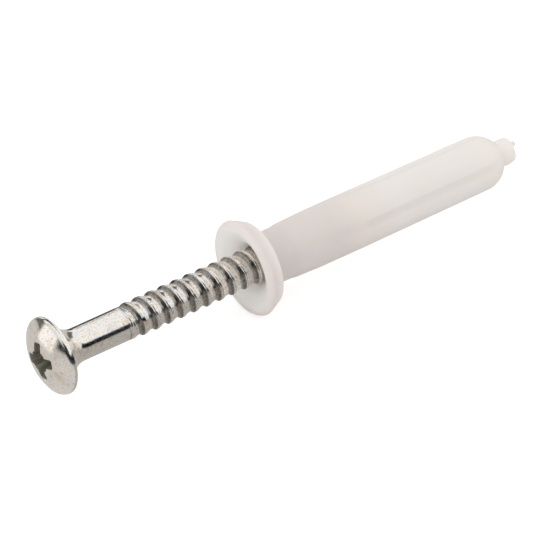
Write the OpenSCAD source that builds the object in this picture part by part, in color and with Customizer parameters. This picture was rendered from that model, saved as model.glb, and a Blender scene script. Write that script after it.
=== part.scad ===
// Hammer-in wall plug with its drive screw started in it, as sold for frames and battens.
// The common axis is +X, pointing into the wall. The origin is on that axis, in the plane
// where the back of the plug's collar seats on the wall.

/* [Screw head] */
// Diameter of the domed head
head_d = 11.2; // [9.6:0.1:12.4]
// Height of the dome above the head's cylindrical edge
dome_h = 1.9; // [1.4:0.1:2.6]
// Width of the head's cylindrical edge
edge_w = 0.7; // [0.4:0.05:1]
// Rounding from the dome to the cylindrical edge
edge_round = 0.8; // [0.4:0.05:0.9]
// Rounding of the head's rear edge
rear_round = 0.15; // [0.1:0.01:0.25]
// Diameter of the flared neck where it meets the head
flare_d = 9.6; // [8:0.1:10.4]
// Length of the flared neck, from the head to the plain shank
flare_len = 3.9; // [3:0.1:4.8]

/* [Cross recess] */
// Diameter across the wings at the mouth of the recess
recess_d = 6.2; // [4.6:0.1:6.8]
// Width of a wing at the mouth
wing_w = 1.65; // [1.2:0.05:1.9]
// Diameter across the small ribs' grooves between the wings
rib_d = 3.6; // [2.8:0.1:4]
// Diameter of the round hollow where the wings meet
heart_d = 2.3; // [1.8:0.1:2.8]
// Depth of the recess below the top of the dome
recess_depth = 2.6; // [1.8:0.1:3]
// Share of its mouth size that the recess keeps at the bottom
recess_taper = 0.5; // [0.35:0.05:0.7]
// Turn of the recess about the screw's axis
recess_turn = 71; // [0:1:89]

/* [Screw shank] */
// Diameter of the plain shank
shank_d = 4.8; // [4.4:0.05:5]
// Length of the screw under its head
under_head = 45.8; // [42:0.1:50]
// Length under the head that has no thread
plain_len = 10.9; // [9:0.1:16]
// How far the head's underside stands off the front of the collar
stand_off = 31.1; // [26:0.1:34]

/* [Screw thread] */
// Diameter over the crests
thread_d = 5.2; // [5.05:0.05:5.6]
// Diameter at the root
root_d = 4.45; // [4:0.05:4.6]
// Distance from one turn to the next
pitch = 2.1; // [1.7:0.05:2.6]
// Axial length of the steep flank, which faces the head
flank_len = 0.6; // [0.4:0.05:0.8]
// Width of the crest
crest_w = 0.14; // [0.08:0.02:0.3]
// Width of the root
root_w = 0.16; // [0.08:0.02:0.3]
// Length over which the thread grows out of the shank
run_in = 1.4; // [0.3:0.1:2]
// Length of the pointed end
point_len = 3.4; // [2.4:0.1:5]
// Diameter of the blunt tip
point_d = 1; // [0.6:0.1:1.6]
// Turn of the thread about the screw's axis
thread_turn = 229; // [0:1:359]

/* [Plug collar] */
// Diameter of the collar at its widest
collar_d = 13.8; // [12.8:0.1:15]
// Diameter of the collar's back, where it seats on the wall
seat_d = 12; // [11:0.1:12.6]
// Thickness of the collar
collar_t = 2.6; // [2.2:0.1:3.4]
// Rounding of the collar's front edge
front_round = 0.75; // [0.4:0.05:0.9]
// Rounding of the collar's back edge
seat_round = 0.2; // [0.1:0.05:0.4]
// Depth of the dish that takes the screw's head
dish_depth = 0.3; // [0.2:0.1:0.9]
// Length of the funnel, from the bottom of the dish down to the bore
funnel_len = 2.6; // [2:0.1:3.4]

/* [Plug sleeve] */
// Diameter of the neck behind the collar
neck_d = 7.5; // [7.2:0.1:7.8]
// Length of the neck
neck_len = 4.3; // [3:0.1:6]
// Width of the small step between the neck and the sleeve
step_w = 0.3; // [0.2:0.05:0.6]
// Diameter of the sleeve where it starts
lead_d = 7.76; // [7.6:0.02:7.9]
// Length over which the sleeve grows to its full diameter
lead_len = 4.2; // [2:0.1:6]
// Diameter of the sleeve, which is the size of the drilled hole
sleeve_d = 8; // [7.9:0.05:8.6]
// Length of the plug behind its seat, without the gate mark
plug_len = 42; // [39:0.1:48]

/* [Expansion zone] */
// Diameter of the expansion bore where the screw starts to spread it
spread_d = 3.8; // [3.2:0.1:4]
// Diameter of the expansion bore at its closed end
spread_end_d = 2.4; // [1.8:0.1:3]
// Length of sleeve between the screw's tip and the start of the slots
slot_lead = 3.2; // [2:0.1:5]
// Width of the hollow groove over a slot
groove_w = 1.5; // [1:0.1:1.8]
// Depth of the hollow groove over a slot
groove_depth = 0.25; // [0.15:0.05:0.4]
// Thickness of the skin left between a groove and its slot
skin_t = 0.35; // [0.2:0.05:0.6]
// Width of a slot, which opens into the bore
slot_w = 0.9; // [0.5:0.05:1.2]
// Number of slots
slots = 4; // [2:1:6]
// Turn of the slots about the plug's axis
slot_turn = 70; // [0:1:89]

/* [Plug tail] */
// Diameter of the sleeve where its round end starts
tail_d = 7.7; // [7:0.1:7.9]
// Diameter of the nub on the round end
nub_d = 3.6; // [3:0.1:4.4]
// Length of the nub
nub_len = 2.15; // [1.5:0.05:3]
// How far the nub swells over its root
nub_swell = 0.1; // [0.03:0.01:0.15]
// Rounding of the nub's end
nub_round = 0.35; // [0.2:0.05:0.5]
// Diameter of the gate mark at its root
gate_d = 0.9; // [0.5:0.05:1]
// Diameter of the gate mark at its torn end
gate_tip_d = 0.7; // [0.3:0.05:0.7]
// Length of the gate mark
gate_len = 1.2; // [0.6:0.1:2]
// Distance of the gate mark from the plug's axis
gate_off = 0.45; // [0.2:0.05:0.7]
// Lean of the gate mark
gate_lean = 4; // [0:1:20]
// Turn of the gate mark about the plug's axis
gate_turn = 45; // [0:1:359]

/* [Clearances] */
// Gap around the screw's head in the dish, all round
head_gap = 0.05; // [0.02:0.01:0.2]
// Gap around the thread in the plug's bore, all round
bore_gap = 0.15; // [0.1:0.01:0.3]
// Gap ahead of the screw's tip before the bore narrows
tip_gap = 0.3; // [0.1:0.05:0.6]

/* [Fineness] */
// Facets in a full turn of the round forms
round_facets = 96; // [48:8:144]
// Facets in a full turn of the thread
thread_facets = 36; // [24:4:48]

/* [Hidden] */
arc_steps = 6;
dome_steps = 10;
flare_steps = 7;
flare_power = 2.1;
lap = 0.05;
head_r = head_d / 2;
flare_r = flare_d / 2;
shank_r = shank_d / 2;
crest_r = thread_d / 2;
root_r = root_d / 2;
point_r = point_d / 2;
front_x = -collar_t;
rear_x = front_x - stand_off;
edge_x = rear_x - edge_w;
apex_x = edge_x - dome_h;
thread_x = rear_x + plain_len;
tip_x = rear_x + under_head;
dome_r = (head_r * head_r + dome_h * dome_h) / (2 * dome_h);
dome_angle = asin((head_r - edge_round) / (dome_r - edge_round));
edge_round_x = apex_x + dome_r - (dome_r - edge_round) * cos(dome_angle);
dish_r = head_r + head_gap;
bore_r = crest_r + bore_gap;
guide_x = tip_x + tip_gap;
slot_x = tip_x + slot_lead;
neck_r = neck_d / 2;
lead_r = lead_d / 2;
sleeve_r = sleeve_d / 2;
tail_r = tail_d / 2;
nub_r = nub_d / 2;
nub_x = plug_len - nub_len;
tail_x = nub_x - sqrt(tail_r * tail_r - nub_r * nub_r);
gate_root = gate_d / 2;
groove_r = (groove_w * groove_w / 4 + groove_depth * groove_depth) / (2 * groove_depth);
sleeve_taper = atan((sleeve_r - tail_r) / (tail_x - slot_x));

// Mixes a and b, from a at t = 0 to b at t = 1
function mix(a, b, t) = a + (b - a) * t;

// Holds t between 0 and 1
function held(t) = min(1, max(0, t));

// Points [radius, x] of an arc about [r, x], by the angle from the radial direction towards +X
function arc(r, x, size, from, to, steps = arc_steps) =
    [for (i = [0 : steps]) let (a = mix(from, to, i / steps)) [r + size * cos(a), x + size * sin(a)]];

// Turns an outline of [radius, x] points about the X axis
module turned(outline) {
    rotate([0, 90, 0]) rotate_extrude($fn = round_facets) polygon(outline);
}

// The hollow curve of the neck under the head, from the head to its foot on a radius of foot_r
function flare(head_x, foot_r, length) =
    [for (i = [0 : flare_steps])
        let (t = i / flare_steps)
        [foot_r + (flare_r - shank_r) * pow(1 - t, flare_power), head_x + length * t]];

// A list in the opposite order
function reversed(list) = [for (i = [len(list) - 1 : -1 : 0]) list[i]];

function head_outline() = concat(
    [for (i = [0 : dome_steps])
        let (a = dome_angle * i / dome_steps) [dome_r * sin(a), apex_x + dome_r * (1 - cos(a))]],
    arc(head_r - edge_round, edge_round_x, edge_round, dome_angle - 90, 0),
    arc(head_r - rear_round, rear_x - rear_round, rear_round, 0, 90),
    flare(rear_x, shank_r, flare_len),
    [[shank_r, thread_x], [0, thread_x]]);

// The driver's recess, four wings with a rib groove between each two
module cross_recess() {
    translate([apex_x - lap, 0, 0]) rotate([recess_turn, 0, 0]) rotate([0, 90, 0])
        linear_extrude(height = recess_depth + lap, scale = recess_taper) {
            square([recess_d, wing_w], center = true);
            square([wing_w, recess_d], center = true);
            rotate(45) square([rib_d, wing_w / 2], center = true);
            rotate(45) square([wing_w / 2, rib_d], center = true);
            circle(d = heart_d, $fn = 24);
        }
}

// Places along one pitch, from 0 to 1, and how far each stands from root to crest
function thread_places() = [0, flank_len / pitch, (flank_len + crest_w) / pitch, 1 - root_w / pitch];
thread_lifts = [0, 1, 1, 0];

// Radius of the threaded surface at x, from root (lift 0) to crest (lift 1)
function thread_r(x, lift) =
    let (grown = held((x - thread_x) / run_in),
         full = mix(shank_r - lap, mix(root_r, crest_r, lift), grown),
         cone = mix(point_r, crest_r, held((tip_x - x) / point_len)))
    min(full, cone);

// The threaded length: one helical strip, a pitch wide, whose edges meet turn by turn
module threaded() {
    places = thread_places();
    count = len(places);
    start = thread_x - pitch;
    last = floor((tip_x - start - pitch) / pitch * thread_facets);
    function at(i, j) = j < count ? i * count + j : (i + thread_facets) * count;
    first_hub = (last + thread_facets + 1) * count;
    points = concat(
        [for (i = [0 : last + thread_facets], j = [0 : count - 1])
            let (x = min(start + pitch * (i / thread_facets + places[j]), tip_x),
                 r = thread_r(x, thread_lifts[j]), a = thread_turn + 360 * i / thread_facets)
            [x, r * cos(a), r * sin(a)]],
        [[start, 0, 0], [tip_x + lap, 0, 0]]);
    side = [for (i = [0 : last - 1], j = [0 : count - 1])
        each [[at(i, j), at(i, j + 1), at(i + 1, j)], [at(i, j + 1), at(i + 1, j + 1), at(i + 1, j)]]];
    caps = concat(
        [for (i = [0 : thread_facets - 1]) [first_hub, at(i, 0), at(i + 1, 0)]],
        [for (j = [0 : count - 1]) [first_hub, at(0, j + 1), at(0, j)]],
        [for (i = [last : last + thread_facets - 1]) [first_hub + 1, at(i + 1, 0), at(i, 0)]],
        [for (j = [0 : count - 1]) [first_hub + 1, at(last, j), at(last, j + 1)]]);
    polyhedron(points, concat(side, caps), convexity = 12);
}

module drive_screw() {
    color("silver") union() {
        difference() {
            turned(head_outline());
            cross_recess();
        }
        threaded();
    }
}

// Outside of the plug, from the dish's edge to the middle of the nub's end
function plug_outside() = concat(
    [[dish_r, front_x]],
    arc(collar_d / 2 - front_round, front_x + front_round, front_round, -90, 0),
    arc(seat_d / 2 - seat_round, -seat_round, seat_round, 0, 90),
    [[neck_r, 0], [neck_r, neck_len - step_w], [lead_r, neck_len],
     [sleeve_r, neck_len + lead_len], [sleeve_r, slot_x]],
    arc(0, tail_x, tail_r, 0, acos(nub_r / tail_r), dome_steps),
    [[nub_r + nub_swell, nub_x + nub_len / 2]],
    arc(nub_r - nub_round, plug_len - nub_round, nub_round, 0, 90),
    [[0, plug_len]]);

// Inside of the plug, from the closed end of the expansion bore to the dish's edge
function plug_inside() = concat(
    [[0, tail_x + spread_end_d / 4], [spread_end_d / 2, tail_x]],
    [[spread_d / 2, guide_x + bore_r - spread_d / 2], [bore_r, guide_x]],
    reversed(flare(front_x + dish_depth, bore_r, funnel_len)));

// Along the side of the sleeve that faces +Z, from the start of a slot and as steep as its taper
module along_sleeve() {
    translate([slot_x, 0, sleeve_r]) rotate([0, sleeve_taper, 0]) children();
}

// A hollow groove with a round start, which runs out over the round end
module groove_cut() {
    along_sleeve() translate([groove_w / 2, 0, groove_r - groove_depth]) {
        sphere(groove_r, $fn = round_facets);
        rotate([0, 90, 0]) cylinder(r = groove_r, h = nub_x - slot_x - groove_w / 2, $fn = round_facets);
    }
}

// A slot from the bore outwards, closed by the skin under its groove
module slot_cut() {
    along_sleeve() translate([groove_w / 2, -slot_w / 2, -sleeve_r])
        cube([tail_x - slot_x - groove_w, slot_w, sleeve_r - groove_depth - skin_t]);
}

// The mark left where the plug was torn off its runner
module gate_mark() {
    rotate([gate_turn, 0, 0]) translate([plug_len, gate_off, 0]) rotate([0, 0, gate_lean])
        translate([-gate_root, 0, 0]) rotate([0, 90, 0])
            cylinder(d1 = gate_d, d2 = gate_tip_d, h = gate_root + gate_len, $fn = 24);
}

module wall_plug() {
    color("ivory") union() {
        difference() {
            turned(concat(plug_outside(), plug_inside()));
            for (i = [0 : slots - 1]) rotate([slot_turn - 90 + i * 360 / slots, 0, 0]) {
                groove_cut();
                slot_cut();
            }
        }
        gate_mark();
    }
}

drive_screw();
wall_plug();
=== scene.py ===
# Hammer-in wall plug with its drive screw started in it, lying on a pale table.
# Shapes are worked out in millimetres, with the CAD's own values, and scaled to metres at the end.
import math
import bpy
import bmesh
from mathutils import Matrix, Vector


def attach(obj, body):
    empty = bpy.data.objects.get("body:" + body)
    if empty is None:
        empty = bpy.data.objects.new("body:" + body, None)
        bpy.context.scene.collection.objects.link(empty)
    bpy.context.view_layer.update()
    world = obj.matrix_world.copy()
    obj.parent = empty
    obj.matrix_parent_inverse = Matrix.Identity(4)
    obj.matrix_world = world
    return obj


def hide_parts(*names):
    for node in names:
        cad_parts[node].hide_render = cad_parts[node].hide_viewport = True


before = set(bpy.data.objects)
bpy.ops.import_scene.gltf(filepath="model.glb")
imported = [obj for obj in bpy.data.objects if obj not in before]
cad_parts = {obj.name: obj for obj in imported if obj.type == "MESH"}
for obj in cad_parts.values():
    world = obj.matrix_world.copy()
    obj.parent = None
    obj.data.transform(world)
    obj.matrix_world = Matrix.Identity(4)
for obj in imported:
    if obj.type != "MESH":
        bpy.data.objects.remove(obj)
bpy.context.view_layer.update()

MM = 0.001

# Sizes in millimetres and turns in degrees, the same as in the CAD.
COLLAR_T, STAND_OFF, UNDER_HEAD, PLAIN_LEN = 2.6, 31.1, 45.8, 10.9
HEAD_R, DOME_H, EDGE_W, EDGE_ROUND, REAR_ROUND = 5.6, 1.9, 0.7, 0.8, 0.15
FRONT_X = -COLLAR_T
REAR_X = FRONT_X - STAND_OFF
EDGE_X = REAR_X - EDGE_W
APEX_X = EDGE_X - DOME_H
DOME_R = (HEAD_R ** 2 + DOME_H ** 2) / (2 * DOME_H)
FLARE_R, FLARE_LEN, FLARE_POWER = 4.8, 3.9, 2.1
SHANK_R = 2.4
RECESS_R, WING, RIB_R, RECESS_DEEP, RECESS_TAPER, RECESS_TURN = 3.1, 1.65, 1.8, 2.6, 0.5, 71
THREAD_X = REAR_X + PLAIN_LEN
TIP_X = REAR_X + UNDER_HEAD
CREST_R, ROOT_R, PITCH, RUN_IN = 2.6, 2.225, 2.1, 1.4
POINT_LEN, POINT_R, THREAD_TURN = 3.4, 0.5, 229
COLLAR_R, SEAT_R, FRONT_ROUND, SEAT_ROUND = 6.9, 6.0, 0.75, 0.2
DISH_R, DISH_DEEP, FUNNEL_LEN = 5.65, 0.3, 2.6
NECK_R, NECK_LEN, STEP, LEAD_R, LEAD_LEN, SLEEVE_R, PLUG_LEN = 3.75, 4.3, 0.3, 3.88, 4.2, 4.0, 42.0
BORE_R, SPREAD_R, SPREAD_END_R, GUIDE_X = 2.75, 1.9, 1.2, TIP_X + 0.3
TAIL_R, NUB_R, NUB_LEN, NUB_SWELL, NUB_ROUND = 3.85, 1.8, 2.15, 0.1, 0.35
NUB_X = PLUG_LEN - NUB_LEN
TAIL_X = NUB_X - math.sqrt(TAIL_R ** 2 - NUB_R ** 2)
SLOT_X, GROOVE_W, GROOVE_DEEP, SLOT_TURN = TIP_X + 3.2, 1.5, 0.25, 70
GATE_R, GATE_TIP_R, GATE_LEN = 0.45, 0.35, 1.2
GATE_OFF, GATE_LEAN, GATE_TURN = 0.45, 4, 45
FLOOR_Z = -COLLAR_R

# Softer edges and small marks that only the scene has, in millimetres.
CREASE_ROUND, CORNER_ROUND, GUIDE_ROUND, SPREAD_END_ROUND = 1.1, 0.12, 0.1, 0.3
STEP_BLEND, LEAD_BLEND, NUB_BLEND, NUB_NARROW = 1.2, 6.0, 0.8, 0.05
WING_ROUND, RIM_ROUND, RIM_DEEP, RIM_REACH = 0.32, 0.05, 0.06, 0.1
RIDGE_H, RIDGE_STEP, RIDGE_START, RIDGE_END, RIDGE_FADE = 0.04, 0.35, 0.15, 3.4, 2.0
GROOVE_EASE, GROOVE_REACH = 0.05, 0.6
GATE_ROUND, GATE_RAGGED, GATE_WAVY = 0.16, 0.06, 0.08
# How deep the gate's rod is rooted in the nub. The CAD's goes 0.025 mm deeper.
GATE_ROOT = 0.425

# How finely round shapes are divided.
SCREW_SEGMENTS, THREAD_SEGMENTS, PLUG_SEGMENTS = 144, 72, 240


def rounded(corners, steps=4):
    """The points of an outline of (x, radius, rounding) corners, with an arc at each rounded one."""
    points = []
    for i, (x, r, size) in enumerate(corners):
        here = Vector((x, r))
        if not size:
            points.append((x, r))
            continue
        before = (Vector(corners[i - 1][:2]) - here).normalized()
        after = (Vector(corners[i + 1][:2]) - here).normalized()
        half = before.angle(after) / 2
        centre = here + (before + after).normalized() * size / math.sin(half)
        first = (here + before * size / math.tan(half) - centre).normalized()
        last = (here + after * size / math.tan(half) - centre).normalized()
        points += [tuple(centre + first.slerp(last, k / steps) * size) for k in range(steps + 1)]
    return points


def spun(outline, steps):
    """A closed skin from an outline of (x, radius) points, turned about the X axis."""
    bm = bmesh.new()
    chain = [bm.verts.new((x, r, 0)) for x, r in outline]
    edges = [bm.edges.new(pair) for pair in zip(chain, chain[1:])]
    bmesh.ops.spin(bm, geom=chain + edges, cent=(0, 0, 0), axis=(1, 0, 0), angle=2 * math.pi,
                   steps=steps, use_merge=True)
    bmesh.ops.remove_doubles(bm, verts=bm.verts, dist=0.0005)
    bmesh.ops.recalc_face_normals(bm, faces=bm.faces)
    return bm


def turn(bm, degrees, axis):
    """Turns the whole mesh about an axis through the origin."""
    matrix = Matrix.Rotation(math.radians(degrees), 3, axis)
    bmesh.ops.rotate(bm, cent=(0, 0, 0), matrix=matrix, verts=bm.verts)


def piece(name, bm, materials, sharp=35):
    """A smooth-shaded object from a mesh in millimetres, which stands on the CAD's frame."""
    bmesh.ops.scale(bm, vec=(MM, MM, MM), verts=bm.verts)
    mesh = bpy.data.meshes.new(name)
    bm.to_mesh(mesh)
    bm.free()
    for face in mesh.polygons:
        face.use_smooth = True
    mesh.set_sharp_from_angle(angle=math.radians(sharp))
    for material in materials:
        mesh.materials.append(material)
    thing = bpy.data.objects.new(name, mesh)
    bpy.context.scene.collection.objects.link(thing)
    return thing


def cut(body, cutter):
    """The mesh of body with cutter taken out of it, both in millimetres."""
    things = []
    for bm in (body, cutter):
        mesh = bpy.data.meshes.new("blank")
        bm.to_mesh(mesh)
        bm.free()
        things.append(bpy.data.objects.new("blank", mesh))
        bpy.context.scene.collection.objects.link(things[-1])
    boolean = things[0].modifiers.new("cut", "BOOLEAN")
    boolean.operation, boolean.solver, boolean.object = "DIFFERENCE", "EXACT", things[1]
    result = bmesh.new()
    result.from_object(things[0], bpy.context.evaluated_depsgraph_get())
    for thing in things:
        bpy.data.objects.remove(thing)
    return result


def held(t):
    """A share, kept between 0 and 1."""
    return min(1.0, max(0.0, t))


def mix(a, b, t):
    """The value that lies a share of t on the way from a to b."""
    return a + (b - a) * t


# What the materials are made with.
def linear(hex_colour):
    """An sRGB hex colour as linear red, green, blue and alpha."""
    parts = [int(hex_colour[i:i + 2], 16) / 255 for i in (0, 2, 4)]
    return [p / 12.92 if p <= 0.04045 else ((p + 0.055) / 1.055) ** 2.4 for p in parts] + [1.0]


def per_mm(size):
    """The texture scale, on coordinates in metres, that makes its features size millimetres."""
    return 1 / (size * MM)


def add(tree, kind, inputs=None, stops=(), **settings):
    """Adds a node with its settings. Each input gets a value or the socket that feeds it, and a
    colour ramp gets its stops, each with a place and a colour."""
    made = tree.nodes.new("ShaderNode" + kind)
    for name, value in settings.items():
        setattr(made, name, value)
    for name, value in (inputs or {}).items():
        if isinstance(value, bpy.types.NodeSocket):
            tree.links.new(value, made.inputs[name])
        else:
            made.inputs[name].default_value = value
    if stops:
        first, last = made.color_ramp.elements
        first.position, first.color = stops[0]
        last.position, last.color = stops[-1]
        for place, colour in stops[1:-1]:
            made.color_ramp.elements.new(place).color = colour
    return made


def blank(name):
    """A new material with its tree and its shader."""
    material = bpy.data.materials.new(name)
    material.use_nodes = True
    tree = material.node_tree
    tree.nodes.clear()
    shader = add(tree, "BsdfPrincipled")
    add(tree, "OutputMaterial", {"Surface": shader.outputs[0]})
    return material, tree, shader


def seen_directly(tree):
    """1 for the rays of the camera, of reflections and of glass, and 0 for those that carry light."""
    path = add(tree, "LightPath").outputs
    seen = add(tree, "Math", {0: path["Is Camera Ray"], 1: path["Is Transmission Ray"]},
               operation="MAXIMUM").outputs[0]
    return add(tree, "Math", {0: seen, 1: path["Is Glossy Ray"]}, operation="MAXIMUM").outputs[0]


# Materials of the object.
def dark_flank_and_root(tree, where, cloud, fleck):
    """A dull, dark olive tone on the thread's steep flank and in its root, streaked along the turns:
    how much of it there is at each place, and its colour."""
    parts = add(tree, "SeparateXYZ", {"Vector": where}).outputs
    angle = add(tree, "Math", {0: parts["Z"], 1: parts["Y"]}, operation="ARCTAN2").outputs[0]
    turns = add(tree, "Math", {0: angle, 1: 1 / (2 * math.pi)}, operation="MULTIPLY").outputs[0]
    along = add(tree, "Math", {0: parts["X"], 1: 1 / (PITCH * MM)}, operation="MULTIPLY").outputs[0]
    helix = add(tree, "Math", {0: along, 1: turns}, operation="SUBTRACT").outputs[0]
    # The share of one pitch that a place has gone, from the foot of the steep flank.
    start = THREAD_TURN / 360 - (THREAD_X - PITCH) / PITCH
    place = add(tree, "Math", {0: helix, 1: start}, operation="ADD").outputs[0]
    place = add(tree, "Math", {0: place}, operation="FRACT").outputs[0]
    amounts = ((0.0, 0.8), (0.1, 1.0), (0.21, 0.9), (0.255, 0.0), (0.8, 0.0), (0.93, 0.7), (1.0, 0.8))
    stops = [(at, (amount, amount, amount, 1)) for at, amount in amounts]
    root = add(tree, "ValToRGB", {"Fac": place}, stops).outputs["Color"]
    streaks = add(tree, "TexNoise", {"W": place, "Scale": PITCH / 0.12, "Detail": 2.0},
                  noise_dimensions="1D").outputs["Fac"]
    patchy = add(tree, "Math", {0: streaks, 1: fleck}, operation="ADD").outputs[0]
    broken = add(tree, "MapRange", {"Value": patchy, "From Min": 0.75, "From Max": 1.3,
                                    "To Min": 1.0, "To Max": 0.5}).outputs[0]
    darkened_share = add(tree, "Math", {0: root, 1: broken}, operation="MULTIPLY").outputs[0]
    tone = add(tree, "Mix", {"Factor": cloud, "A": linear("34382e"), "B": linear("5e5046")},
               data_type="RGBA").outputs["Result"]
    return darkened_share, tone


def bright_zinc_plate(name, rolled=False):
    """Cold-headed and rolled steel wire, zinc plated and thinly passivated: a bright grey metal with
    cloudy blotches and specks, whose film goes faintly pink, yellow and blue."""
    material, tree, shader = blank(name)
    where = add(tree, "TexCoord").outputs["Object"]
    # Each pattern has its size in millimetres, its detail and its roughness.
    cloud, blotch, fleck, speck, grain = [
        add(tree, "TexNoise", {"Vector": where, "Scale": per_mm(size), "Detail": detail,
                               "Roughness": roughness}).outputs["Fac"]
        for size, detail, roughness in ((2.2, 5.0, 0.65), (1.1, 4.0, 0.6), (0.45, 3.0, 0.6),
                                        (0.24, 5.0, 0.75), (0.16, 3.0, 0.5))]
    hues = ((0.32, "e6eaec"), (0.46, "f3eee9"), (0.57, "f4eee2"), (0.68, "f2e2d6"))
    stops = [(place, linear(hue)) for place, hue in hues]
    tone = add(tree, "ValToRGB", {"Fac": blotch}, stops).outputs["Color"]
    # Stains: where each starts and is fullest on its pattern, how strong it gets and its colour.
    speck_most, speck_tone = (0.7, "5f5a52") if rolled else (0.4, "7d7770")
    for pattern, start, full, most, stain in ((cloud, 0.5, 0.68, 0.35, "b3aaa0"),
                                              (fleck, 0.6, 0.72, 0.5, "a89f96"),
                                              (speck, 0.52, 0.66, speck_most, speck_tone)):
        share = add(tree, "MapRange", {"Value": pattern, "From Min": start, "From Max": full,
                                       "To Max": most}).outputs[0]
        tone = add(tree, "Mix", {"Factor": share, "A": tone, "B": linear(stain)},
                   data_type="RGBA").outputs["Result"]
    rough = add(tree, "MapRange", {"Value": fleck, "From Min": 0.3, "From Max": 0.7,
                                   "To Min": 0.11, "To Max": 0.22}).outputs[0]
    if rolled:
        # On the rolled thread: a dull, dark olive tone on the steep flank and in the root of each turn.
        darkened_share, flank_tone = dark_flank_and_root(tree, where, cloud, fleck)
        tone = add(tree, "Mix", {"Factor": darkened_share, "A": tone, "B": flank_tone},
                   data_type="RGBA").outputs["Result"]
        rough = add(tree, "Math", {0: darkened_share, 1: 0.2, 2: rough}, operation="MULTIPLY_ADD").outputs[0]
    dents = add(tree, "Bump", {"Height": blotch, "Strength": 0.5, "Distance": 0.02 * MM}).outputs[0]
    fine = add(tree, "Bump", {"Height": grain, "Strength": 0.7, "Distance": 0.006 * MM,
                              "Normal": dents}).outputs[0]
    tree.links.new(tone, shader.inputs["Base Color"])
    tree.links.new(rough, shader.inputs["Roughness"])
    tree.links.new(fine, shader.inputs["Normal"])
    shader.inputs["Metallic"].default_value = 1.0
    return material


def dull_zinc_in_recess():
    """The same plate inside the punched recess, coloured a dark, dull olive."""
    material, tree, shader = blank("dull_zinc_in_recess")
    where = add(tree, "TexCoord").outputs["Object"]
    recess_mottle = add(tree, "TexNoise", {"Vector": where, "Scale": per_mm(0.4), "Detail": 4.0}).outputs["Fac"]
    tone = add(tree, "Mix", {"Factor": recess_mottle, "A": linear("5f5f54"), "B": linear("94917f")},
               data_type="RGBA").outputs["Result"]
    rough = add(tree, "MapRange", {"Value": recess_mottle, "To Min": 0.4, "To Max": 0.65}).outputs[0]
    crust = add(tree, "Bump", {"Height": recess_mottle, "Strength": 0.8, "Distance": 0.04 * MM}).outputs[0]
    tree.links.new(tone, shader.inputs["Base Color"])
    tree.links.new(rough, shader.inputs["Roughness"])
    tree.links.new(crust, shader.inputs["Normal"])
    shader.inputs["Metallic"].default_value = 0.5
    return material


def nylon_tone(tree, where):
    """The nylon's colour: a cloudy warm white, with painted shade, a little pinker and darker, on the
    sleeve near the collar where the screw lies in the bore; and on the collar's front, painted light
    in the middle and painted shade at the lip."""
    parts = add(tree, "SeparateXYZ", {"Vector": where}).outputs
    cloud = add(tree, "TexNoise", {"Vector": where, "Scale": per_mm(5.0), "Detail": 3.0}).outputs["Fac"]
    tone = add(tree, "Mix", {"Factor": cloud, "A": linear("f0e6e0"), "B": linear("f4ece6")},
               data_type="RGBA").outputs["Result"]
    # Painted shade: pinker and a little darker from the collar to about halfway along the sleeve, for the
    # screw in the bore and the collar's shadow.
    along = add(tree, "MapRange", {"Value": parts["X"], "From Max": PLUG_LEN * MM}).outputs[0]
    shades = ((0.0, "fff4f2"), (0.2, "fff4f2"), (0.3, "fbf4f2"), (0.38, "fbf7f5"), (0.5, "ffffff"))
    stops = [(place, linear(shade)) for place, shade in shades]
    wall = add(tree, "ValToRGB", {"Fac": along}, stops).outputs["Color"]
    body = add(tree, "Mix", {"Factor": 1.0, "A": tone, "B": wall}, data_type="RGBA",
               blend_type="MULTIPLY").outputs["Result"]
    # Painted light and shade on the collar's front: lighter in the middle, for light let through the
    # nylon into the dish, and greyer towards the lip.
    across = add(tree, "CombineXYZ", {"Y": parts["Y"], "Z": parts["Z"]}).outputs[0]
    radius = add(tree, "VectorMath", {0: across}, operation="LENGTH").outputs["Value"]
    lip = add(tree, "MapRange", {"Value": radius, "From Min": 5.4 * MM,
                                 "From Max": COLLAR_R * MM}).outputs[0]
    collar = add(tree, "Mix", {"Factor": lip, "A": linear("fff4ee"), "B": linear("d9cfcb")},
                 data_type="RGBA").outputs["Result"]
    in_front = add(tree, "MapRange", {"Value": parts["X"], "From Min": -0.2 * MM,
                                      "From Max": 0.4 * MM, "To Min": 1.0, "To Max": 0.0}).outputs[0]
    return add(tree, "Mix", {"Factor": in_front, "A": body, "B": collar},
               data_type="RGBA").outputs["Result"]


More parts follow.
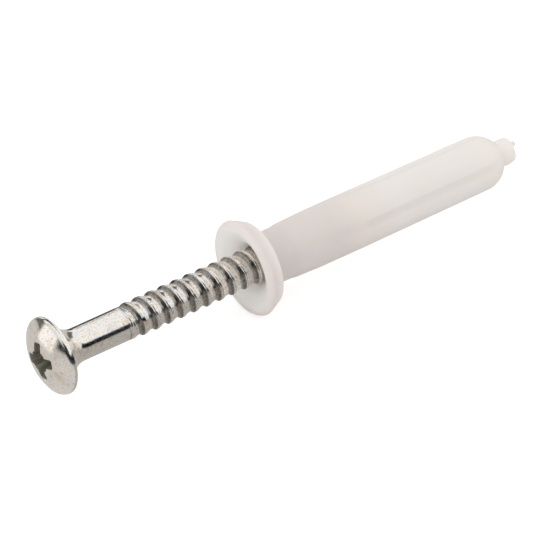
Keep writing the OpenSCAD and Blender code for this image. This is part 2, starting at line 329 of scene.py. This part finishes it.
def natural_nylon():
    """Injection moulded polyamide without pigment: warm white, waxy and cloudy, so that light goes into
    it. Where the screw lies in the bore, its grey is painted shade in the nylon's colour."""
    material, tree, shader = blank("natural_nylon")
    where = add(tree, "TexCoord").outputs["Object"]
    # Dust and burnt grains in the melt: a few faint specks, at most 0.6 mm wide.
    grains = add(tree, "TexVoronoi", {"Vector": where, "Scale": per_mm(6.0)}).outputs["Distance"]
    dust = add(tree, "MapRange", {"Value": grains, "From Min": 0.02, "From Max": 0.05,
                                  "To Min": 0.35, "To Max": 0.0}).outputs[0]
    tone = add(tree, "Mix", {"Factor": dust, "A": nylon_tone(tree, where), "B": linear("8a7c74")},
               data_type="RGBA").outputs["Result"]
    skin = add(tree, "TexNoise", {"Vector": where, "Scale": per_mm(0.35), "Detail": 4.0}).outputs["Fac"]
    rough = add(tree, "MapRange", {"Value": skin, "From Min": 0.3, "From Max": 0.7,
                                   "To Min": 0.4, "To Max": 0.52}).outputs[0]
    # Flow of the melt along the mould: long soft waves, drawn coarser than the real ones.
    flow = add(tree, "Mapping", {"Vector": where, "Scale": (0.15, 1.0, 1.0)}).outputs[0]
    waves = add(tree, "TexNoise", {"Vector": flow, "Scale": per_mm(1.2), "Detail": 2.0}).outputs["Fac"]
    low = add(tree, "Bump", {"Height": waves, "Strength": 0.35, "Distance": 0.03 * MM}).outputs[0]
    fine = add(tree, "Bump", {"Height": skin, "Strength": 0.3, "Distance": 0.008 * MM,
                              "Normal": low}).outputs[0]
    tree.links.new(tone, shader.inputs["Base Color"])
    tree.links.new(rough, shader.inputs["Roughness"])
    tree.links.new(fine, shader.inputs["Normal"])
    shader.inputs["Subsurface Weight"].default_value = 0.85
    shader.inputs["Subsurface Radius"].default_value = (1.0, 0.94, 0.9)
    shader.inputs["Subsurface Scale"].default_value = 4.5 * MM
    shader.inputs["Subsurface Anisotropy"].default_value = 0.0
    shader.inputs["IOR"].default_value = 1.53
    return material


# Drive screw.
def flare(head_x, foot_r, length, steps):
    """The hollow neck under the head, from the head down to a radius of foot_r."""
    return [(head_x + length * k / steps, foot_r + (FLARE_R - SHANK_R) * (1 - k / steps) ** FLARE_POWER)
            for k in range(steps + 1)]


def screw_blank():
    """The headed wire: the domed head with its cylindrical edge, the hollow neck and the shank."""
    dome_steps, edge_steps, flare_steps = 24, 8, 20
    angle = math.asin((HEAD_R - EDGE_ROUND) / (DOME_R - EDGE_ROUND))
    dome = [(APEX_X + DOME_R * (1 - math.cos(angle * k / dome_steps)),
             DOME_R * math.sin(angle * k / dome_steps)) for k in range(dome_steps)]
    edge_x = APEX_X + DOME_R - (DOME_R - EDGE_ROUND) * math.cos(angle)
    bends = [mix(angle, math.pi / 2, k / edge_steps) for k in range(edge_steps + 1)]
    edge = [(edge_x - EDGE_ROUND * math.cos(bend), HEAD_R - EDGE_ROUND * (1 - math.sin(bend)))
            for bend in bends]
    rear = rounded([(*edge[-1], 0), (REAR_X, HEAD_R, REAR_ROUND), (REAR_X, FLARE_R, 0)])
    neck = flare(REAR_X, SHANK_R, FLARE_LEN, flare_steps)
    # The shank ends in a short cone that lies hidden in the thread.
    cone_x, cone_end_x = THREAD_X + 0.02, THREAD_X + 0.3
    outline = dome + edge + rear[1:] + neck[1:] + [(cone_x, SHANK_R), (cone_end_x, 0)]
    return spun(outline, SCREW_SEGMENTS)


def recess_punch():
    """The driver's cross with a rib groove between each two wings, narrower towards its bottom."""
    # The punch starts a little above the dome, so that it cuts right through its skin.
    above = 0.4
    half, rib = WING / 2, WING / 4
    quarter = [(RECESS_R, half), (half + rib * math.sqrt(2), half),
               ((RIB_R + rib) / math.sqrt(2), (RIB_R - rib) / math.sqrt(2)),
               ((RIB_R - rib) / math.sqrt(2), (RIB_R + rib) / math.sqrt(2)),
               (half, half + rib * math.sqrt(2)), (half, RECESS_R)]
    bm = bmesh.new()
    for k in range(4):
        for y, z in quarter:
            bm.verts.new(Matrix.Rotation(math.radians(90 * k), 3, "X") @ Vector((0, y, z)))
    face = bm.faces.new(bm.verts)
    made = bmesh.ops.extrude_face_region(bm, geom=[face])["geom"]
    floor = [v for v in made if isinstance(v, bmesh.types.BMVert)]
    bmesh.ops.translate(bm, vec=(RECESS_DEEP + above, 0, 0), verts=floor)
    bmesh.ops.scale(bm, vec=(1, RECESS_TAPER, RECESS_TAPER), verts=floor)
    bmesh.ops.recalc_face_normals(bm, faces=bm.faces)
    # The long edges at the outer corners of the wings.
    wing_ends = [e for e in bm.edges if abs(e.verts[0].co.x - e.verts[1].co.x) > 1
                 and max(math.hypot(v.co.y, v.co.z) for v in e.verts) > RECESS_R]
    bmesh.ops.bevel(bm, geom=wing_ends, offset=WING_ROUND, segments=5, profile=0.5, affect="EDGES",
                    material=-1)
    turn(bm, RECESS_TURN - 90, "X")
    bmesh.ops.translate(bm, vec=(APEX_X - above, 0, 0), verts=bm.verts)
    return bm


def head_and_shank(materials):
    """The headed wire with the recess punched in, its rim a little turned over."""
    bm = cut(screw_blank(), recess_punch())

    def sunk(point):
        """How deep a point lies under the dome."""
        radius = math.hypot(point.y, point.z)
        return point.x - (APEX_X + DOME_R - math.sqrt(DOME_R ** 2 - min(radius, HEAD_R) ** 2))

    for face in bm.faces:
        middle = face.calc_center_median()
        in_head = math.hypot(middle.y, middle.z) < RECESS_R + RIM_REACH and middle.x < REAR_X
        if in_head and sunk(middle) > RIM_DEEP:
            face.material_index = 1
    rim = [e for e in bm.edges if len(e.link_faces) == 2
           and e.link_faces[0].material_index != e.link_faces[1].material_index]
    # The turned-over rim is bright like the dome, so its faces take material 0.
    bmesh.ops.bevel(bm, geom=rim, offset=RIM_ROUND, offset_type="OFFSET", segments=2, profile=0.5,
                    affect="EDGES", material=0, clamp_overlap=True)
    return piece("screw_head_and_shank", bm, materials)


def shape_ends(bm, start):
    """Lets the swept thread grow out of the shank, with the fine ridges that rolling leaves at its
    start, and tapers it to the point. Its first turn begins just under the shank's skin."""
    under = 0.01
    for v in bm.verts:
        r = math.hypot(v.co.y, v.co.z)
        along = v.co.x - THREAD_X
        degrees = math.degrees(math.atan2(v.co.z, v.co.y)) - THREAD_TURN
        ridge = math.cos(2 * math.pi * ((v.co.x - start) - PITCH * degrees / 360) / RIDGE_STEP)
        fading = held(along / RIDGE_START) * held((RIDGE_END - along) / RIDGE_FADE)
        grown = mix(SHANK_R - under, r, held(along / RUN_IN) ** 2) + RIDGE_H * (ridge - 1) * fading
        point = mix(POINT_R, CREST_R, held((TIP_X - v.co.x) / POINT_LEN))
        size = min(grown, point) / r
        v.co = (min(v.co.x, TIP_X), v.co.y * size, v.co.z * size)


def thread(materials):
    """The rolled thread: one profile swept in a right-hand helix, grown out of the shank at its
    start and tapered to the point. Two low ridges with a seam between them make its crest."""
    # Knots of the profile: the way along one pitch, and the share of the thread's height there.
    knots = [(0, 0), (0.1, 0.04), (0.3, 0.46), (0.48, 0.9), (0.56, 1.0), (0.64, 0.97), (0.72, 0.7),
             (0.8, 0.88), (0.88, 0.92), (1.05, 0.76), (1.35, 0.44), (1.65, 0.2), (1.9, 0.05), (PITCH, 0)]
    point_step = 0.09
    profile = []
    for (x, lift), (next_x, next_lift) in zip(knots, knots[1:]):
        parts = max(1, round((next_x - x) / point_step))
        profile += [(mix(x, next_x, k / parts), mix(lift, next_lift, k / parts)) for k in range(parts)]
    profile.append(knots[-1])
    start = THREAD_X - PITCH
    steps = int((TIP_X - start) / PITCH * THREAD_SEGMENTS)
    bm = bmesh.new()
    chain = [bm.verts.new((start + x, mix(ROOT_R, CREST_R, lift), 0)) for x, lift in profile]
    edges = [bm.edges.new(pair) for pair in zip(chain, chain[1:])]
    turn(bm, THREAD_TURN, "X")
    bmesh.ops.spin(bm, geom=chain + edges, cent=(0, 0, 0), axis=(1, 0, 0),
                   dvec=(PITCH / THREAD_SEGMENTS, 0, 0), angle=2 * math.pi * steps / THREAD_SEGMENTS,
                   steps=steps, use_merge=False)
    bmesh.ops.remove_doubles(bm, verts=bm.verts, dist=0.003)
    shape_ends(bm, start)
    middle = (start + TIP_X) / 2
    for x, side in ((start, -1), (TIP_X, 1)):
        rim = [e for e in bm.edges if e.is_boundary and (e.verts[0].co.x - middle) * side > 0]
        made = bmesh.ops.extrude_edge_only(bm, edges=rim)["geom"]
        ends = [v for v in made if isinstance(v, bmesh.types.BMVert)]
        bmesh.ops.pointmerge(bm, verts=ends, merge_co=(x, 0, 0))
    bmesh.ops.dissolve_degenerate(bm, edges=bm.edges, dist=0.0001)
    bmesh.ops.recalc_face_normals(bm, faces=bm.faces)
    return piece("screw_thread", bm, materials, sharp=50)


# Wall plug.
def plug_outline():
    """From the closed end of the expansion bore, out through the dish and back to the nub's end."""
    funnel_x = FRONT_X + DISH_DEEP
    funnel = flare(funnel_x, BORE_R, FUNNEL_LEN, 12)
    inside = rounded([(TAIL_X + SPREAD_END_R / 2, 0, 0), (TAIL_X, SPREAD_END_R, SPREAD_END_ROUND),
                      (GUIDE_X + BORE_R - SPREAD_R, SPREAD_R, GUIDE_ROUND),
                      (GUIDE_X, BORE_R, GUIDE_ROUND)] + [(x, r, 0) for x, r in reversed(funnel)])
    # The collar's front is rounded over 88 degrees, in steps of 11.
    bends = [math.radians(11 * k) for k in range(9)]
    front = [(FRONT_X + FRONT_ROUND * (1 - math.cos(bend)), COLLAR_R - FRONT_ROUND * (1 - math.sin(bend)))
             for bend in bends]
    dish = rounded([(funnel_x, BORE_R + FLARE_R - SHANK_R, 0), (FRONT_X, DISH_R, CREASE_ROUND),
                    (*front[0], 0)], 8)
    sleeve = rounded([(*front[-1], 0), (0, SEAT_R, SEAT_ROUND), (0, NECK_R, CORNER_ROUND),
                      (NECK_LEN - 2 * STEP, NECK_R, STEP_BLEND), (NECK_LEN + STEP, LEAD_R, STEP_BLEND),
                      (NECK_LEN + LEAD_LEN, SLEEVE_R, LEAD_BLEND), (SLOT_X, SLEEVE_R, 0)], 5)
    rings, ball_steps = 60, 20
    slotted = [(mix(SLOT_X, TAIL_X, k / rings), mix(SLEEVE_R, TAIL_R, k / rings))
               for k in range(1, rings)]
    last = math.acos(NUB_R / TAIL_R)
    ball = [(TAIL_X + TAIL_R * math.sin(last * k / ball_steps), TAIL_R * math.cos(last * k / ball_steps))
            for k in range(ball_steps)]
    nub = rounded([(*ball[-1], 0), (NUB_X, NUB_R, CORNER_ROUND),
                   (NUB_X + NUB_LEN / 2, NUB_R + NUB_SWELL, NUB_BLEND),
                   (PLUG_LEN, NUB_R - NUB_NARROW, NUB_ROUND), (PLUG_LEN, 0, 0)], 5)
    return inside[:-1] + dish + front[1:-1] + sleeve + slotted + ball + nub[1:]


def press_grooves(bm):
    """Presses the four hollow grooves into the sleeve, with a round start and soft edges. They keep
    to the sleeve's taper, and so run out over the round end."""
    margin, nub_margin = 0.2, 0.02
    hollow = (GROOVE_W ** 2 / 4 + GROOVE_DEEP ** 2) / (2 * GROOVE_DEEP)
    for v in bm.verts:
        r = math.hypot(v.co.y, v.co.z)
        if v.co.x < SLOT_X - margin or r < SPREAD_R + margin or v.co.x > NUB_X - nub_margin:
            continue
        angle = math.degrees(math.atan2(v.co.z, v.co.y)) - SLOT_TURN
        aside = r * math.radians((angle + 45) % 90 - 45)
        away = math.hypot(aside, max(0.0, SLOT_X + GROOVE_W / 2 - v.co.x))
        line = mix(SLEEVE_R, TAIL_R, (v.co.x - SLOT_X) / (TAIL_X - SLOT_X))
        floor = line + hollow - GROOVE_DEEP - math.sqrt(max(0.0, hollow ** 2 - away ** 2))
        gap = r - floor
        pressed = (gap + math.sqrt(gap * gap + GROOVE_EASE ** 2)) / 2
        eased = r - pressed + GROOVE_EASE / 4 * math.exp(-abs(gap) / GROOVE_EASE)
        size = eased / r if abs(gap) < GROOVE_REACH or gap > 0 else 1
        v.co.y, v.co.z = v.co.y * size, v.co.z * size


def plug(materials):
    """The whole moulding, with its bore open towards the screw."""
    bm = spun(plug_outline(), PLUG_SEGMENTS)
    press_grooves(bm)
    bmesh.ops.recalc_face_normals(bm, faces=bm.faces)
    return piece("plug", bm, materials)


def gate_mark(materials):
    """The stub left where the plug was torn off its runner: a thin rod with a ragged, leaning end."""
    bm = bmesh.new()
    bmesh.ops.create_cone(bm, cap_ends=True, segments=24, radius1=GATE_R, radius2=GATE_TIP_R,
                          depth=GATE_ROOT + GATE_LEN)
    tip = [e for e in bm.edges if min(v.co.z for v in e.verts) > GATE_LEN / 2]
    bmesh.ops.bevel(bm, geom=tip, offset=GATE_ROUND, segments=5, profile=0.5, affect="EDGES",
                    material=-1)
    sides = [e for e in bm.edges if abs(e.verts[0].co.z - e.verts[1].co.z) > 0.5]
    bmesh.ops.subdivide_edges(bm, edges=sides, cuts=8)
    turn(bm, 90, "Y")
    bmesh.ops.translate(bm, vec=((GATE_LEN - GATE_ROOT) / 2, 0, 0), verts=bm.verts)
    # The end is torn unevenly, and the rod isn't quite round.
    for v in bm.verts:
        along = held(v.co.x / GATE_LEN)
        v.co.x -= along ** 2 * GATE_RAGGED * (1 + math.sin(9 * v.co.y + 5 * v.co.z))
        v.co.z *= 1 + GATE_WAVY * math.sin(7 * v.co.x)
    turn(bm, GATE_LEAN, "Z")
    bmesh.ops.translate(bm, vec=(PLUG_LEN, GATE_OFF, 0), verts=bm.verts)
    turn(bm, GATE_TURN, "X")
    bmesh.ops.recalc_face_normals(bm, faces=bm.faces)
    return piece("gate_mark", bm, materials)


zinc = bright_zinc_plate("bright_zinc_plate")
rolled_zinc = bright_zinc_plate("rolled_zinc_plate", rolled=True)
recess = dull_zinc_in_recess()
nylon = natural_nylon()
for thing in (head_and_shank([zinc, recess]), thread([rolled_zinc])):
    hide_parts("drive_screw")
    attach(thing, "root")
for thing in (plug([nylon]), gate_mark([nylon])):
    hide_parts("wall_plug")
    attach(thing, "root")


# Camera, at the photograph's angle. It stands far off, so that the picture has hardly any perspective.
AWAY, PHOTO_PX, PX_PER_MM = 3000.0, 540, 7.41
AIM_X, AIM_RIGHT_PX, AIM_DOWN_PX = -2.0, 24.0, 1.85
px = 1 / PX_PER_MM
back = Vector((-0.4535, -0.6310, 0.6290)).normalized()
right = Vector((0.8121, -0.5835, 0)).normalized()
up = back.cross(right)
# The point that lies in the middle of the picture.
aim = Vector((AIM_X, 0, 0)) + right * AIM_RIGHT_PX * px - up * AIM_DOWN_PX * px
lens = bpy.data.cameras.new("camera")
lens.sensor_width = 36
lens.lens = lens.sensor_width * AWAY / (PHOTO_PX * px)
lens.clip_start, lens.clip_end = 0.01, 20
camera = bpy.data.objects.new("camera", lens)
camera.location = (aim + back * AWAY) * MM
camera.rotation_euler = (-back).to_track_quat("-Z", "Y").to_euler()
bpy.context.scene.collection.objects.link(camera)
bpy.context.scene.camera = camera


# Studio, in metres: a table top, cards that only reflections see, a white surrounding and two lamps.
FLOOR = FLOOR_Z * MM
LAYER = 0.0001
RING, INNER_RING = 0.5, 0.49
STRIP_Y, STRIP_BACK_Y = 0.027, 0.0275
PAPER_TINT, CLOTH_TINT, DARKEST_PAPER = (1, 0.97, 0.94), (0.7, 1, 1.05), 0.1


def staged(name, bm, material, shows_to_camera=False):
    """A thing of the studio, which isn't part of the object, from a mesh in metres."""
    mesh = bpy.data.meshes.new(name)
    bm.to_mesh(mesh)
    bm.free()
    mesh.materials.append(material)
    thing = bpy.data.objects.new(name, mesh)
    bpy.context.scene.collection.objects.link(thing)
    if not shows_to_camera:
        thing.visible_camera = thing.visible_diffuse = False
        thing.visible_shadow = thing.visible_transmission = False


def table_top():
    """White paper on a table. The camera, the metal and the nylon see it a little lighter than it
    is lit, which makes it white, and the object's shadow stays on it."""
    material, tree, shader = blank("table_top")
    shader.inputs["Base Color"].default_value = linear("ebebeb")
    shader.inputs["Roughness"].default_value = 0.9
    shader.inputs["Specular IOR Level"].default_value = 0.0
    shader.inputs["Emission Color"].default_value = (1, 1, 1, 1)
    lift = add(tree, "Math", {0: seen_directly(tree), 1: 0.5}, operation="MULTIPLY").outputs[0]
    tree.links.new(lift, shader.inputs["Emission Strength"])
    return material


def card(name, grey):
    """A card that only reflections see, as light as grey: warm paper, or bluish black cloth."""
    material, _, shader = blank(name)
    tint = PAPER_TINT if grey > DARKEST_PAPER else CLOTH_TINT
    shader.inputs["Base Color"].default_value = (0, 0, 0, 1)
    shader.inputs["Specular IOR Level"].default_value = 0.0
    shader.inputs["Emission Color"].default_value = (*[grey * part for part in tint], 1)
    shader.inputs["Emission Strength"].default_value = 1.0
    return material


def upright_card(name, grey, distance, azimuths, heights, centre=(0, 0)):
    """A curved card round a centre, between two azimuths that count from +X towards +Y. Its foot
    and its top are elevations from the height of the object's axis. All four are in degrees."""
    bm = bmesh.new()
    ends = [bm.verts.new((distance, 0, distance * math.tan(math.radians(e)))) for e in heights]
    rail = bm.edges.new(ends)
    first, last = azimuths
    turn(bm, first, "Z")
    bmesh.ops.spin(bm, geom=ends + [rail], cent=(0, 0, 0), axis=(0, 0, 1),
                   angle=math.radians(last - first), steps=24)
    bmesh.ops.translate(bm, vec=(*centre, 0), verts=bm.verts)
    staged(name, bm, card(name, grey))


def flat_card(name, grey, low, high):
    """A thin flat card that fills the box between two corners."""
    bm = bmesh.new()
    bmesh.ops.create_cube(bm, size=1.0)
    bmesh.ops.scale(bm, vec=[b - a for a, b in zip(low, high)], verts=bm.verts)
    bmesh.ops.translate(bm, vec=[(a + b) / 2 for a, b in zip(low, high)], verts=bm.verts)
    staged(name, bm, card(name, grey))


bm = bmesh.new()
bmesh.ops.create_grid(bm, x_segments=1, y_segments=1, size=3.0)
bmesh.ops.translate(bm, vec=(0, 0, FLOOR), verts=bm.verts)
staged("floor", bm, table_top(), shows_to_camera=True)

# Boards that lie on the table: grey, and the x and y of two corners.
for name, grey, (x0, y0), (x1, y1) in (
        ("near_board", 0.46, (-0.033, -0.8), (0.8, 0.0)),
        ("head_board", 0.68, (-0.8, -0.8), (-0.033, 0.0)),
        ("far_board", 0.64, (-0.8, 0.0), (0.8, 0.8))):
    flat_card(name, grey, (x0, y0, FLOOR + LAYER), (x1, y1, FLOOR + 2 * LAYER))

# Strips that stand on the far side of the screw: grey, and the x and z of two corners.
for name, grey, (x0, z0), (x1, z1) in (
        ("far_strip", 0.03, (-0.0212, FLOOR + 3 * LAYER), (-0.0093, 0.007)),
        ("far_strip_foot", 0.03, (-0.0285, FLOOR + 3 * LAYER), (-0.02, -0.0033)),
        ("far_strip_left", 0.14, (-0.057, 0.001), (-0.030, 0.017))):
    flat_card(name, grey, (x0, STRIP_Y, z0), (x1, STRIP_BACK_Y, z1))

# Cards in a ring round the object: grey, distance, azimuths and elevations.
for name, grey, distance, azimuths, heights in (
        ("near_flag", 0.012, RING, (-115, -38), (-1, 26)),
        ("right_flag", 0.85, RING, (-38, 17), (-1, 9)),
        ("right_far_flag", 0.11, RING, (17, 46), (-1, 22)),
        ("camera_flag", 0.02, RING, (-165, -115), (-1, 48)),
        ("left_flag", 0.85, RING, (122, 195), (19, 50)),
        ("left_low_flag", 0.3, RING, (168, 195), (-1, 19)),
        ("land_flag", 0.012, INNER_RING, (173, 199), (-1, 14)),
        ("rim_flag", 0.02, INNER_RING, (64, 88), (18, 84))):
    upright_card(name, grey, distance, azimuths, heights)

# A small bright card close to the head, at its left as the camera sees it.
upright_card("low_reflector", 1.15, 0.044, (127, 166), (-8.9, 20), centre=(-0.036, 0.0))

world = bpy.data.worlds.new("studio")
world.use_nodes = True
tree = world.node_tree
tree.nodes.clear()
level = add(tree, "MapRange", {"Value": seen_directly(tree), "To Min": 0.855, "To Max": 1.0}).outputs[0]
air = add(tree, "Background", {"Color": (1, 1, 1, 1), "Strength": level}).outputs[0]
add(tree, "OutputWorld", {"Surface": air})
bpy.context.scene.world = world


def softbox(name, place, size, watts):
    """A square lamp that shines at the object. Reflections see the studio's cards instead of it."""
    light = bpy.data.lights.new(name, "AREA")
    light.size, light.energy = size, watts
    lamp = bpy.data.objects.new(name, light)
    lamp.location = place
    lamp.rotation_euler = (-Vector(place)).to_track_quat("-Z", "Y").to_euler()
    lamp.visible_glossy = False
    bpy.context.scene.collection.objects.link(lamp)


softbox("top_softbox", (-0.1, 0.15, 0.9), 0.9, 0.8)
softbox("left_softbox", (-0.8, -0.3, 0.4), 0.6, 0.8)

bpy.context.scene.view_settings.view_transform = "Standard"
